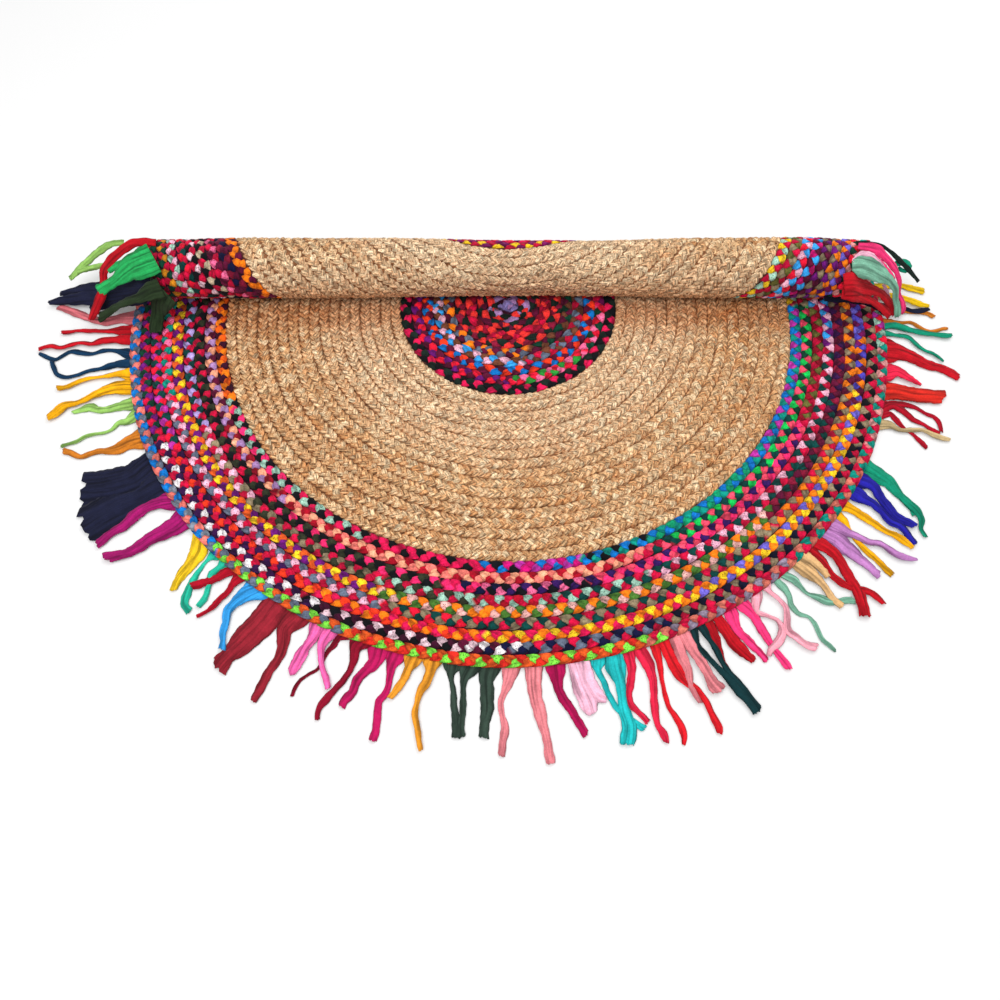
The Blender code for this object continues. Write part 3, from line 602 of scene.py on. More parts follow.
floorRags = [
    (-179.4, -176.6, "ragSalmon", 0,
     [[(120, 318, 12), (105, 321, 10), (88, 317, 8), (72, 311, 8), (58, 306, 7)]]),
    (-176.4, -172.7, "ragRed", 1,
     [[(113, 331, 7), (100, 331, 5), (90, 331, 5), (80, 330.5, 4), (70, 332, 5), (61, 333, 6)],
      [(115, 340, 8), (103, 341, 8), (92, 344.5, 5), (82, 343, 4), (72, 345, 5), (62, 348, 4),
       (50, 346.5, 5), (38, 350, 4)]]),
    (-171.6, -168.4, "deepPetrol", 0,
     [[(115, 350, 5), (103, 350, 5), (92, 353, 5), (80, 352, 6), (70, 351, 5), (62, 355, 5),
       (55, 359, 5), (47, 357, 5), (38, 352, 3)],
      [(118, 364, 8), (108, 366, 7), (100, 368.5, 4), (88, 370.5, 4), (76, 375, 4), (66, 377, 4),
       (57, 374, 4), (53, 366, 4), (51, 360, 3)]]),
    (-168.0, -163.5, "amber", 1,
     [[(120, 374, 8), (108, 376, 5), (98, 377.5, 3), (88, 379, 5), (78, 382, 5), (70, 386, 5),
       (63, 388, 5), (56, 388, 6)],
      [(118, 388, 16), (105, 391, 11), (95, 395, 8), (85, 400, 6), (75, 404, 6), (65, 406, 9),
       (56, 413, 11), (47, 419, 7)]]),
    (-162.8, -158.9, "ragGreen", 0,
     [[(118, 406, 11), (106, 409, 8), (98, 409, 8), (88, 407, 10), (80, 409.5, 7), (71, 412, 4)],
      [(127, 421, 8), (118, 423, 5), (112, 429, 4), (104, 432.5, 3), (94, 434, 3), (85, 436, 4),
       (77, 441, 4), (68, 443.5, 3), (60, 446, 4)]]),
    (-157.2, -153.4, "ragOchre", 0,
     [[(130, 442, 17), (118, 448, 13), (107, 450.5, 8), (97, 451, 6), (88, 454, 6), (80, 456.5, 5),
       (72, 453, 6), (62, 450.5, 7)]]),
    (-152.7, -144.9, "ragNavy", 0,
     [[(135, 478, 40), (108, 487, 44), (80, 490, 42)],
      [(138, 498, 22), (115, 509, 40), (97, 519, 46), (82, 528, 42)]]),
    (-144.9, -139.0, "ragMagenta", 1,
     [[(160, 503, 13), (148, 507, 12), (137, 514, 13), (125, 525, 11), (112, 533, 9), (102, 541, 9),
       (96, 546, 9)],
      [(178, 524, 22), (166, 531, 19), (152, 538, 15), (140, 546, 13), (128, 553, 11), (115, 556, 12),
       (104, 560, 16)]]),
    (-138.5, -133.2, "yellow", 0,
     [[(201, 540, 27), (198, 551, 19), (192, 561, 15), (184, 571, 12), (177, 580, 9), (173, 591, 8)]]),
    (-133.7, -130.0, "ragMint", 0,
     [[(209, 558, 6), (200, 568, 5), (194, 578, 7), (187, 592, 9), (184, 603, 8), (190, 612, 8)],
      [(222, 565, 10), (211, 575, 7), (208, 587, 5), (204, 599, 6), (197, 607, 6)]]),
    (-130.3, -127.1, "ragCrimson", 1,
     [[(222, 575, 10), (210, 581, 8), (200, 584, 10), (190, 586, 8)],
      [(233, 584, 8), (228, 592, 6), (221, 598, 7), (213, 607, 6), (204, 613, 4), (196, 617, 4)]]),
    (-126.7, -122.7, "skyBlue", 1,
     [[(247, 594, 17), (237, 601, 12), (228, 611, 9), (226, 622, 7), (223, 632, 7), (223, 642, 5),
       (222, 651, 8)]]),
    (-123.1, -116.6, "ragBurgundy", 0,
     [[(262, 622, 30), (248, 636, 28), (236, 648, 24), (229, 654, 16), (221, 663, 20), (216, 670, 22)],
      [(285, 628, 18), (283, 645, 12), (277, 660, 10), (268, 672, 9), (262, 685, 10), (252, 702, 8)]]),
    (-116.3, -112.4, "ragPink", 1,
     [[(314, 636, 12), (305, 648, 10), (299, 659, 13), (293, 671, 9), (292, 676, 4)],
      [(322, 645, 8), (321, 657, 6), (323, 670, 5), (327, 682, 6), (328, 690, 5)]]),
    (-112.8, -107.7, "darkCrimson", 0,
     [[(339, 637, 9), (333, 645, 7), (327, 652, 5), (322, 661, 4), (318, 668, 3.5), (308, 674, 3.5),
       (300, 680, 4), (295, 687, 4), (291, 697, 4)],
      [(356, 646, 14), (354, 657, 9), (351, 668, 6), (344, 679, 6), (335, 689, 6), (325, 700, 8),
       (318, 711, 5), (317, 721, 5)]]),
    (-107.9, -103.1, "ragRaspberry", 0,
     [[(375, 661, 15), (366, 670, 10), (357, 680, 9), (352, 692, 9), (344, 701, 8), (341, 708, 7)],
      [(391, 668, 9), (389, 680, 7), (386, 692, 7), (379, 702, 8), (377, 715, 8), (376, 728, 8),
       (372, 742, 9)]]),
    (-103.1, -98.6, "ragGolden", 1,
     [[(409, 668, 9), (404, 679, 8), (398, 688, 7), (389, 699, 5)],
      [(431, 669, 11), (427, 681, 10), (420, 692, 7), (417, 703, 5), (415, 713, 6), (417, 727, 6),
       (419, 740, 5), (421, 752, 4)]]),
    (-98.3, -91.2, "ragDarkGreen", 0,
     [[(451, 675, 7), (453, 690, 6), (454, 705, 7), (456, 722, 9), (456, 739, 9)],
      [(464, 680, 8), (463, 695, 6), (463, 710, 7), (461, 725, 7), (462, 738, 7)],
      [(487, 678, 16), (487, 695, 14), (487, 712, 13), (484, 726, 10), (484, 739, 10)]]),
    (-91.0, -88.5, "ragRose", 0,
     [[(509, 678, 13), (505, 690, 8), (501, 702, 6), (502, 715, 6), (505, 728, 8), (503, 742, 8),
       (501, 757, 8)]]),
    (-88.1, -85.9, "ragRose", 0,
     [[(534, 683, 15), (536, 697, 13), (540, 713, 12), (544, 729, 9), (548, 744, 8), (550, 760, 9),
       (551, 765, 8)]]),
    (-85.7, -83.0, "ragPlum", 0,
     [[(557, 678, 13), (559, 690, 9), (566, 702, 9), (573, 713, 8), (580, 724, 8), (587, 736, 8)]]),
    (-82.7, -80.1, "ragLightPink", 0,
     [[(579, 680, 16), (584, 693, 18), (589, 704, 18), (592, 715, 9)],
      [(587, 678, 15), (593, 689, 15), (600, 697, 11), (607, 700, 5)]]),
    (-79.7, -75.8, "ragTurquoise", 0,
     [[(598, 669, 8), (604, 682, 6), (610, 696, 6), (618, 709, 6), (629, 718, 6), (638, 724, 7),
       (646, 729, 8)],
      [(616, 668, 20), (620, 682, 11), (622, 696, 9), (625, 712, 11), (629, 726, 15), (628, 740, 15),
       (627, 746, 14)]]),
    (-75.6, -72.9, "ragCoralRed", 0,
     [[(632, 668, 9), (631, 681, 8), (629, 693, 7), (631, 703, 7), (640, 713, 6), (649, 723, 7)],
      [(648, 664, 12), (653, 680, 8), (654, 695, 7), (655, 710, 7), (658, 725, 6), (665, 736, 7),
       (667, 744, 4)]]),
    (-72.0, -69.7, "ragScarlet", 0,
     [[(660, 664, 6), (662, 678, 5), (665, 693, 5), (670, 708, 5), (678, 720, 7), (684, 732, 8),
       (684, 746, 3)],
      [(671, 657, 14), (678, 670, 13), (687, 682, 9), (698, 690, 6), (706, 701, 6), (712, 714, 6),
       (719, 728, 7), (720, 735, 4)]]),
    (-69.3, -66.7, "ragRose", 1,
     [[(682, 657, 11), (688, 670, 8), (690, 683, 6), (695, 694, 5), (701, 704, 4)],
      [(694, 653, 10), (703, 665, 10), (709, 677, 10), (716, 687, 15), (721, 692, 17)]]),
    (-66.5, -64.4, "ragDarkTeal", 1,
     [[(697, 643, 5), (705, 654, 5), (716, 666, 5), (728, 678, 8), (738, 690, 9), (750, 703, 9),
       (758, 714, 9)],
      [(708, 638, 5), (716, 650, 6), (722, 662, 5), (730, 674, 6), (740, 684, 5), (750, 697, 5),
       (761, 710, 6)]]),
    (-64.3, -61.9, "ragRed", 0,
     [[(715, 636, 10), (720, 648, 6), (723, 660, 5), (730, 671, 4)],
      [(727, 632, 12), (735, 643, 14), (745, 653, 11), (755, 661, 7)]]),
    (-61.2, -57.9, "ragHotPink", 0,
     [[(737, 628, 10), (748, 640, 9), (759, 651, 8), (768, 661, 7)],
      [(750, 611, 12), (759, 624, 9), (767, 638, 8), (776, 651, 6), (784, 661, 8), (790, 670, 6)]]),
    (-56.5, -53.5, "ragPalePink", 1,
     [[(757, 612, 6), (768, 616, 4), (778, 621, 5), (783, 631, 9), (778, 642, 9), (771, 650, 7),
       (768, 657, 5)],
      [(768, 590, 7), (777, 598, 4), (785, 607, 5), (787, 620, 6), (788, 631, 8), (797, 638, 7),
       (806, 645, 7), (818, 648, 9)]]),
    (-53.1, -51.2, "ragSage", 0,
     [[(783, 586, 8), (789, 595, 6), (792, 605, 6), (799, 613, 5), (810, 617, 4), (817, 627, 5),
       (822, 638, 5), (830, 645, 5), (837, 651, 4)],
      [(795, 580, 8), (801, 587, 5), (807, 593, 3), (818, 597, 7), (828, 601, 9), (840, 601, 5),
       (847, 600, 7), (855, 600, 7)]]),
    (-49.7, -46.6, "ragTan", 1,
     [[(807, 571, 17), (818, 580, 9), (826, 589, 7), (833, 599, 7), (843, 607, 7)],
      [(816, 564, 9), (824, 572, 7), (828, 578, 6)]]),
    (-47.0, -43.6, "ragRed", 1,
     [[(822, 562, 10), (831, 574, 8), (842, 583, 8), (856, 589, 8), (870, 592, 7), (880, 600, 7),
       (885, 605, 5)],
      [(832, 552, 12), (842, 565, 10), (849, 578, 11), (857, 590, 11), (862, 604, 11),
       (865, 618, 12)]]),
    (-43.3, -40.0, "ragLilac", 1,
     [[(838, 540, 18), (849, 550, 16), (860, 559, 12), (870, 567, 9), (880, 577, 9)],
      [(846, 532, 9), (858, 537, 8), (868, 542, 6), (880, 544, 6), (889, 550, 7), (900, 556, 7),
       (910, 559, 5), (918, 560, 2)]]),
    (-39.6, -36.7, "amber", 0,
     [[(845, 521, 8), (850, 530, 5), (858, 541, 6), (867, 550, 7), (878, 560, 7), (888, 570, 7),
       (894, 575, 8)],
      [(850, 508, 11), (862, 515, 9), (874, 523, 8), (886, 531, 6), (896, 535, 7), (905, 541, 8),
       (914, 548, 6)]]),
    (-35.6, -31.2, "ragRoyal", 1,
     [[(862, 498, 14), (873, 504, 9), (882, 512, 8), (890, 521, 9), (900, 526, 9), (908, 535, 7),
       (916, 545, 6)],
      [(872, 486, 12), (880, 497, 10), (888, 508, 10), (898, 518, 9), (907, 522, 9), (916, 527, 7)]]),
    (-31.8, -28.5, "ragEmerald", 0,
     [[(888, 484, 9), (898, 495, 6), (906, 502, 6), (912, 508, 6), (915, 516, 5)],
      [(880, 474, 13), (890, 481, 11), (898, 492, 8), (908, 502, 9), (918, 512, 9), (922, 519, 6),
       (921, 528, 4), (927, 538, 4)]]),
    (-23.2, -21.2, "ragBeige", 1,
     [[(890, 425, 9), (900, 430, 5), (912, 430, 5), (922, 430, 5), (932, 434, 6), (942, 438, 6),
       (951, 440, 4)]]),
    (-21.4, -17.9, "ragCrimson", 0,
     [[(890, 413, 7), (898, 421, 6), (905, 428, 4), (914, 434, 4), (921, 441, 6), (928, 448, 5)],
      [(892, 405, 9), (904, 411, 8), (915, 420, 6), (924, 424, 5), (932, 429, 5), (941, 433, 5)],
      [(905, 404, 7), (916, 407, 5), (926, 413, 5), (936, 417, 5), (940, 424, 5), (942, 432, 4)]]),
    (-17.7, -14.4, "ragVermilion", 1,
     [[(900, 392, 19), (915, 395, 18), (930, 396, 17), (946, 398, 18)]]),
    (-14.4, -11.0, "ragCoralRed", 2,
     [[(896, 372, 14), (906, 377, 9), (914, 382, 6), (921, 386, 3)]]),
    (-10.8, -5.8, "ragRed", 0,
     [[(900, 352, 20), (915, 358, 14), (930, 365, 12), (945, 369, 10), (955, 375, 10), (960, 378, 9)]]),
    (-5.4, -3.5, "ragEmerald", 1,
     [[(895, 335, 5), (908, 337, 5), (917, 345, 5), (924, 350, 4), (934, 354, 4), (944, 362, 3)],
      [(895, 326, 8), (908, 330, 7), (922, 333, 6), (935, 335, 5), (945, 336, 6), (952, 336, 6)]]),
    (-3.4, -2.0, "ragOchre", 0,
     [[(902, 322, 4), (912, 322, 4), (919, 326, 5), (927, 330, 4), (937, 330, 4), (945, 328, 4),
       (949, 328, 4)]]),
    (-0.6, 0.8, "ragNavy", 1,
     [[(903, 308, 5), (911, 311, 5), (920, 311, 6), (929, 309, 4)]]),
    (-0.4, 0.4, "ragOchre", 0,
     [[(905, 311, 4), (920, 312, 4), (928, 313, 5), (935, 317, 5)]]),
    (2.0, 3.2, "ragYellow", 2,
     [[(905, 300, 7), (914, 303, 8), (922, 306, 6), (929, 307, 3)]]),
    (3.6, 4.8, "ragYellow", 0,
     [[(902, 285, 6), (912, 288, 8), (925, 291, 8)]]),
]


def atHeight(across, down, height):
    # where the line of sight through a point of the photo reaches a height, and metres for one step there
    tilt = math.radians(view["down"])
    right = (across - view["centre"]) / view["lens"]
    below = (down - view["centre"]) / view["lens"]
    level = math.cos(tilt) - below * math.sin(tilt)
    sight = np.array([right, level, -math.sin(tilt) - below * math.cos(tilt)])
    reach = (height - view["place"][2]) / sight[2]
    spot = np.array(view["place"]) + sight * reach
    return spot[0], spot[1], spot[2], reach / view["lens"]


def smoothLine(knots, share):
    # smooth positions through the knots, by the length between them; columns are any numbers
    knots = np.asarray(knots, float)
    reach = np.concatenate([[0], np.cumsum(np.linalg.norm(np.diff(knots[:, :2], axis=0), axis=1) + 1e-9)])
    reach /= reach[-1]
    slopes = np.gradient(knots, reach, axis=0)
    at = np.clip(np.searchsorted(reach, share, side="right") - 1, 0, len(knots) - 2)
    gap = (reach[at + 1] - reach[at])[:, None]
    s = (share[:, None] - reach[at][:, None]) / gap
    return ((2 * s**3 - 3 * s**2 + 1) * knots[at] + (s**3 - 2 * s**2 + s) * gap * slopes[at]
            + (3 * s**2 - 2 * s**3) * knots[at + 1] + (s**3 - s**2) * gap * slopes[at + 1])


def waver(seed, share, beats):
    # smooth random line from -1 to 1
    return sum(np.sin(fullTurn * (beat * share + seed.uniform())) for beat in beats) / len(beats)


def pleats(across, share, seed, width):
    # soft lengthwise folds, 0 in the valleys and 1 on the ridges, that wander and fade along the rag
    count = np.clip(width / 0.012, 0.8, 4.5)
    drift = seed.uniform(-0.8, 0.8) * share + 0.22 * waver(seed, share, (0.9, 2.3))
    ridge = 1 - np.abs(np.sin(math.pi * (count * across / 2 + drift + seed.uniform())))
    second = 1 - np.abs(np.sin(math.pi * (count * 0.7 * across / 2 - drift * 1.9 + seed.uniform())))
    fade = 0.55 + 0.45 * waver(seed, share + 0.2 * across, (0.8, 1.9, 3.1))
    return 0.35 + 0.65 * (0.6 * ridge * fade + 0.4 * second * (1 - fade * 0.5))


def shapeTail(cloth, line, sides, seed, fold, hump):
    # each row of line holds x, y, z and width in metres, each row of sides the direction across the tail
    steps = len(line) - 1
    grain = cloth.verts.layers.float_vector.get("grain") or cloth.verts.layers.float_vector.new("grain")
    ridge = cloth.verts.layers.float.get("ridge") or cloth.verts.layers.float.new("ridge")
    made = bmesh.ops.create_grid(cloth, x_segments=rag["across"], y_segments=steps, size=0.5)["verts"]
    flat = np.array([vert.co for vert in made])
    across, share = flat[:, 0] * 2, flat[:, 1] + 0.5
    length = np.linalg.norm(np.diff(line[:, :3], axis=0), axis=1).sum()
    endWidth = line[-1, 3]
    # the end is torn at a slant
    tearing = rag["torn"] * waver(seed, across * 0.5, (0.9, 2.3, 4.1))
    torn = endWidth / length * (tearing - seed.uniform(-rag["slant"], rag["slant"]) * across)
    share = share * (1 + (torn - 0.01 - 0.12 * endWidth / length * across ** 4) * share ** 6)
    stations = np.linspace(0, 1, steps + 1)
    centre = np.stack([np.interp(share, stations, line[:, k]) for k in range(4)], 1)
    side = np.stack([np.interp(share, stations, sides[:, k]) for k in range(3)], 1)
    along = np.gradient(line[:, :3], axis=0)
    along /= np.linalg.norm(along, axis=1)[:, None]
    forward = np.stack([np.interp(share, stations, along[:, k]) for k in range(3)], 1)
    up = np.cross(forward, side)
    up /= np.linalg.norm(up, axis=1)[:, None]
    edge = np.where(across > 0, waver(seed, share, (2.1, 4.3, 7.7)), waver(seed, share, (2.6, 3.7, 8.3)))
    ragged = rag["ragged"] * np.clip(0.014 / centre[:, 3], 0.25, 1)   # broad rags keep a straighter edge
    sideways = across * centre[:, 3] / 2 * (1 + ragged * edge * across ** 2)
    risen = np.clip(share * length / rag["rootLength"], 0.15, 1)
    pleat = pleats(across, share, seed, centre[:, 3])
    raised = hump * (1 - across ** 2) * np.clip(centre[:, 3] / 0.010, 0.4, 1) + fold * pleat
    raised = raised + rag["wrinkle"] * waver(seed, share * 2 + across * 0.4, (1.7, 3.1, 5.9))
    placed = centre[:, :3] + side * sideways[:, None] + up * (np.maximum(raised, 0) * risen)[:, None]
    threads = np.stack([share * length, across * centre[:, 3] / 2, share * 0 + seed.uniform(0, 9)], 1)
    # painted shade: the rag's tint is darkest in its folds and along its turned-under edges
    paintedFoldShade = rag["valley"] + rag["ridge"] * pleat - rag["edgeShade"] * np.abs(across) ** 5
    for vert, point, thread, top in zip(made, placed, threads, paintedFoldShade):
        vert.co = point
        vert[grain] = thread
        vert[ridge] = top


def endRag(name, cloth, dyeName, seed, node):
    area = sum(face.calc_area() for face in cloth.faces)
    bmesh.ops.recalc_face_normals(cloth, faces=cloth.faces)
    bmesh.ops.solidify(cloth, geom=cloth.faces, thickness=rag["thick"])
    mesh = bpy.data.meshes.new(name)
    cloth.to_mesh(mesh)
    cloth.free()
    points = readPoints(mesh)
    ridges = np.empty(len(points))
    mesh.attributes["ridge"].data.foreach_get("value", ridges)
    # the painted fold and edge shade from shapeTail, with a little random tone, darkens the dye
    shade = ridges + 0.05 * waver(seed, points[:, 0] * 9 + points[:, 1] * 7, (1.1, 2.7, 4.9))
    tint = np.array(dye(dyeName)) * shade[:, None]
    paint(mesh, "tint", "FLOAT_COLOR", np.hstack([tint, np.zeros((len(points), 1))]))
    piece = newPiece(name, mesh, ragCotton, node)


def floorRag(number, start, end, dyeName, level, tails):
    seed = np.random.default_rng(40 + number)
    cloth = bmesh.new()
    longest = 0
    share = (end - start) / len(tails)
    for index, traced in enumerate(tails):
        angle = math.radians(start + share * (index + 0.5))
        over = np.array([-math.sin(angle), math.cos(angle), 0])
        wide = math.radians(share) * rag["root"] * (laid["spread"] if len(tails) > 1 else 1)
        spots = []
        for across, down, width in traced:
            spot = atHeight(across, down, laid["traced"])
            spots.append((spot[0], spot[1], width * spot[3]))
        root = (rag["root"] * math.cos(angle), rag["root"] * math.sin(angle), wide)
        # the rag keeps most of its width for a short way, then the tails part
        thigh = [root[k] + (spots[0][k] - root[k]) * laid["thigh"] for k in (0, 1)]
        thigh.append(0.84 * wide + 0.16 * spots[0][2])
        knots = np.array([root, thigh] + spots)
        length = np.linalg.norm(np.diff(knots[:, :2], axis=0), axis=1).sum()
        steps = max(8, int(length / rag["step"]))
        along = np.linspace(0, 1, steps + 1)
        line = smoothLine(knots, along)
        gone = np.clip(along * length / laid["drop"], 0, 1)
        height = laid["high"] * (1 - gone * gone * (3 - 2 * gone)) + laid["low"]
        height = height + laid["level"] * level * gone + laid["stack"] * (index % 2)
        way = np.gradient(line[:, :2], axis=0)
        way /= np.linalg.norm(way, axis=1)[:, None]
        near = np.exp(-along * length / laid["turned"])[:, None]
        sides = np.stack([-way[:, 1], way[:, 0], 0 * along], 1) * (1 - near) + over * near
        sides /= np.linalg.norm(sides, axis=1)[:, None]
        line = np.column_stack([line[:, :2], height, np.maximum(line[:, 2], laid["narrowest"])])
        shapeTail(cloth, line, sides, seed, rag["fold"], rag["hump"])
        longest = max(longest, length)
    endRag(f"floorRag{number:02d}", cloth, dyeName, seed, ["fringe_front"])


for number, floorRow in enumerate(floorRags):
    floorRag(number, *floorRow)
print("floor rags made")


# Rags that hang from the two ends of the roll, traced in the same way: each point is across, down, height
# in millimetres and width. Their broad side is turned up and to the front, and their folds are deeper.

hung = {"side": (0, -0.47, 0.88), "deeper": 1.5}

rollRags = [
    ("leftLime", "ragGreen", "fringe_left",
     [[(124, 243, 86, 6), (112, 244, 84, 7), (103, 249, 76, 8), (92, 258, 60, 8), (82, 267, 46, 7),
       (72, 278, 32, 6)],
      [(112, 265, 64, 5), (103, 266, 60, 6), (92, 268, 52, 6), (84, 270, 46, 6), (75, 274, 36, 6),
       (70, 279, 30, 5)]]),
    ("leftNavy", "ragNavy", "fringe_left",
     [[(150, 284, 70, 22), (128, 287, 48, 23), (105, 289, 32, 18), (82, 291, 20, 12), (60, 294, 9, 5)],
      [(150, 290, 66, 22), (125, 293, 42, 22), (95, 297, 22, 17), (70, 300, 11, 11), (48, 303, 6, 4)],
      [(148, 296, 60, 18), (125, 298, 34, 18), (105, 302, 18, 15), (91, 309, 7, 7)]]),
    ("leftRed", "ragRed", "fringe_left",
     [[(156, 243, 96, 7), (143, 242, 98, 8), (133, 244, 96, 9), (122, 251, 87, 9), (110, 263, 74, 10),
       (104, 273, 58, 9), (104, 285, 44, 8), (101, 298, 36, 9), (95, 312, 20, 9), (91, 321, 9, 6)]]),
    ("leftGreen", "ragLeaf", "fringe_left",
     [[(154, 258, 99, 32), (143, 263, 97, 32), (131, 268, 86, 26), (122, 275, 76, 19),
       (114, 282, 66, 11), (106, 287, 58, 12), (99, 292, 52, 16)],
      [(130, 262, 88, 10), (118, 266, 80, 7), (109, 272, 74, 4)]]),
    ("leftOlive", "ragOlive", "fringe_left",
     [[(161, 288, 74, 22), (150, 292, 74, 19), (141, 297, 66, 12), (127, 302, 52, 8), (114, 309, 31, 8),
       (105, 315, 19, 9), (99, 318, 12, 10)],
      [(164, 290, 72, 38), (160, 301, 50, 28), (159, 311, 28, 16), (157, 323, 16, 14),
       (156, 334, 12, 13)]]),
    ("rightDark", "charcoal", "fringe_right",
     [[(856, 243, 103, 4), (870, 244, 101, 4), (880, 246, 97, 4), (890, 252, 89, 4), (899, 261, 78, 5),
       (908, 270, 66, 5), (913, 276, 56, 4), (918, 282, 46, 4)]]),
    ("rightEmerald", "ragEmerald", "fringe_right",
     [[(893, 266, 74, 5), (899, 263, 72, 6), (905, 263, 69, 7), (909, 268, 65, 5), (905, 271, 61, 4),
       (897, 268, 60, 4)]]),
    ("rightPink", "ragHotPink", "fringe_right",
     [[(858, 246, 103, 6), (868, 248, 101, 10), (878, 251, 97, 10), (886, 259, 88, 8),
       (893, 267, 76, 7), (897, 275, 62, 5), (899, 284, 50, 4), (898, 292, 38, 4), (902, 302, 22, 5),
       (903, 308, 15, 5), (900, 315, 8, 4)],
      [(866, 254, 99, 8), (877, 262, 90, 8), (886, 271, 76, 7), (893, 279, 62, 4)]]),
    ("rightPale", "ragLightPink", "fringe_right",
     [[(855, 263, 104, 8), (861, 256, 103, 9), (871, 257, 99, 8), (879, 263, 91, 5), (887, 272, 76, 3)],
      [(883, 284, 52, 3), (886, 292, 40, 4), (889, 300, 26, 3)]]),
    ("rightSage", "ragSage", "fringe_right",
     [[(852, 266, 101, 10), (857, 266, 101, 19), (866, 268, 98, 23), (875, 272, 93, 20),
       (884, 277, 84, 14), (891, 283, 70, 10), (895, 291, 54, 7), (895, 300, 38, 6), (897, 309, 22, 7),
       (897, 317, 9, 6)]]),
    ("rightRed", "ragRed", "fringe_right",
     [[(844, 284, 92, 22), (852, 284, 88, 24), (863, 287, 73, 17), (875, 291, 58, 10),
       (885, 298, 38, 9), (891, 308, 18, 8), (891, 317, 9, 5)],
      [(842, 290, 84, 17), (852, 293, 76, 18), (863, 297, 58, 12), (874, 303, 40, 7), (882, 309, 24, 8),
       (889, 316, 11, 8)]]),
    ("rightBlack", "navyBlack", "fringe_right",
     [[(824, 299, 36, 5), (836, 299, 32, 7), (850, 299, 30, 8), (865, 302, 24, 7), (878, 308, 16, 6),
       (885, 315, 9, 4)]]),
]


def hangRag(number, name, dyeName, node, tails):
    seed = np.random.default_rng(140 + number)
    cloth = bmesh.new()
    longest = 0
    for traced in tails:
        knots = []
        for across, down, height, width in traced:
            spot = atHeight(across, down, height / 1000)
            knots.append((*spot[:3], width * spot[3]))
        knots = np.array(knots)
        length = np.linalg.norm(np.diff(knots[:, :3], axis=0), axis=1).sum()
        steps = max(8, int(length / rag["step"]))
        line = smoothLine(knots, np.linspace(0, 1, steps + 1))
        way = np.gradient(line[:, :3], axis=0)
        sides = np.cross(np.array(hung["side"]), way)
        sides /= np.linalg.norm(sides, axis=1)[:, None]
        shapeTail(cloth, line, sides, seed, rag["fold"] * hung["deeper"], rag["hump"])
        longest = max(longest, length)
    endRag(name, cloth, dyeName, seed, [node])


for number, rollRag in enumerate(rollRags):
    hangRag(number, *rollRag)
print("roll rags made")


# Rags wound up in the roll with the far edge, from one angle on the rug to another
woundRags = {"first": 34, "last": 146, "step": 5.6, "steps": 20, "width": 0.026, "length": 0.10,
             "fold": 0.0014, "hump": 0.001,
             "dyes": "crimson emerald golden navy magenta olive skyBlue pink orange darkRed".split()}


def woundRag(number, angle):
    seed = np.random.default_rng(240 + number)
    cloth = bmesh.new()
    middle = math.radians(angle)
    out = np.array([math.cos(middle), math.sin(middle), 0])
    over = np.array([-math.sin(middle), math.cos(middle), 0])
    length = woundRags["length"] * seed.uniform(0.8, 1.15)
    # each knot is along, aside, height and width
    knots = [(0, 0, 0.004, woundRags["width"]),
             (length * 0.4, seed.uniform(-0.004, 0.004), 0.003, 0.015),
             (length * 0.75, seed.uniform(-0.008, 0.008), 0.002, 0.012),
             (length, seed.uniform(-0.01, 0.01), 0.002, 0.010)]
    line = smoothLine(knots, np.linspace(0, 1, woundRags["steps"] + 1))
    place = out * (rag["root"] + line[:, :1]) + over * line[:, 1:2]
    place[:, 2] = line[:, 2]
    sides = np.tile(over, (len(line), 1))
    shapeTail(cloth, np.hstack([place, line[:, 3:4]]), sides, seed, woundRags["fold"], woundRags["hump"])
    bent = rollUp(np.array([vert.co for vert in cloth.verts]))
    for vert, point in zip(cloth.verts, bent):
        vert.co = point
    dyeName = woundRags["dyes"][number % len(woundRags["dyes"])]
    endRag(f"woundRag{number:02d}", cloth, dyeName, seed, ["fringe_core"])


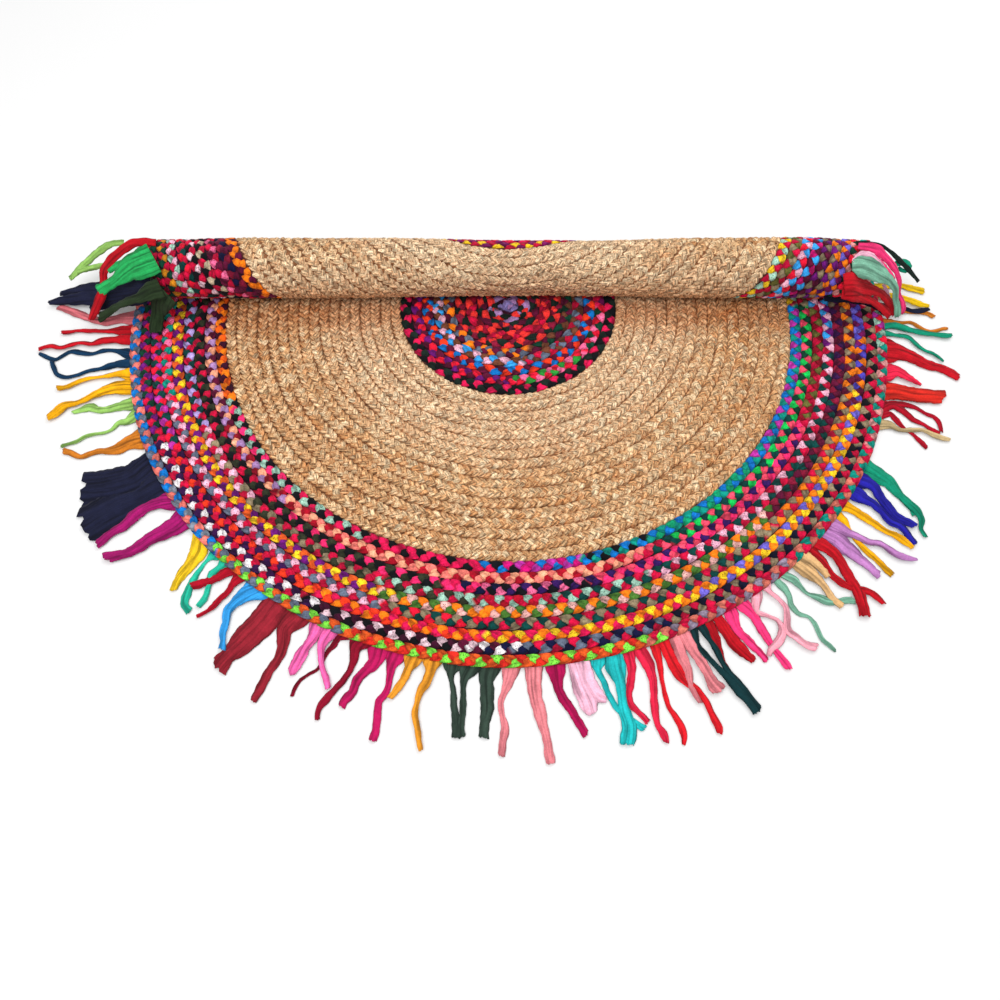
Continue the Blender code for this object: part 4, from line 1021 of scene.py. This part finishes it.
angle, number = woundRags["first"], 0
while angle < woundRags["last"]:
    woundRag(number, angle)
    angle += woundRags["step"]
    number += 1
print("wound rags made")


# Floor, light and camera

studio = {"floorSize": 6, "floorLevel": -0.0002, "floorWhite": 0.75, "floorRoughness": 0.9, "air": 0.87}

floorMesh = bpy.data.meshes.new("plainFloor")
ground = bmesh.new()
bmesh.ops.create_grid(ground, x_segments=2, y_segments=2, size=studio["floorSize"])
bmesh.ops.translate(ground, verts=ground.verts, vec=(0, 0, studio["floorLevel"]))
ground.to_mesh(floorMesh)
ground.free()
floorPiece = bpy.data.objects.new("plainFloor", floorMesh)
plainWhite, tree, shader = newMaterial("plainWhite")
white = studio["floorWhite"]
shader.inputs["Base Color"].default_value = (white, white, white, 1)
shader.inputs["Roughness"].default_value = studio["floorRoughness"]
shader.inputs["Specular IOR Level"].default_value = 0.1
floorMesh.materials.append(plainWhite)
bpy.context.scene.collection.objects.link(floorPiece)

world = bpy.data.worlds.new("studio")
bpy.context.scene.world = world
world.use_nodes = True
world.node_tree.nodes["Background"].inputs["Color"].default_value = (1, 1, 1, 1)
world.node_tree.nodes["Background"].inputs["Strength"].default_value = studio["air"]

lamps = {
    "key": {"place": (-0.7, -1.1, 2.5), "energy": 34, "size": 1.4},
    "fill": {"place": (1.2, 1.4, 2.4), "energy": 30, "size": 2.0},
}
for name, look in lamps.items():
    light = bpy.data.lights.new(name, "AREA")
    light.energy = look["energy"]
    light.size = look["size"]
    lamp = bpy.data.objects.new(name, light)
    lamp.location = look["place"]
    aim = -lamp.location
    lamp.rotation_euler = aim.to_track_quat("-Z", "Y").to_euler()
    bpy.context.scene.collection.objects.link(lamp)

bpy.context.scene.view_settings.view_transform = "Standard"

lens = bpy.data.cameras.new("photoView")
lens.sensor_width = view["sensor"]
lens.lens = view["lens"] / view["wide"] * view["sensor"]
camera = bpy.data.objects.new("photoView", lens)
camera.location = view["place"]
camera.rotation_euler = (math.radians(90 - view["down"]), 0, 0)
bpy.context.scene.collection.objects.link(camera)
bpy.context.scene.camera = camera

print("done")
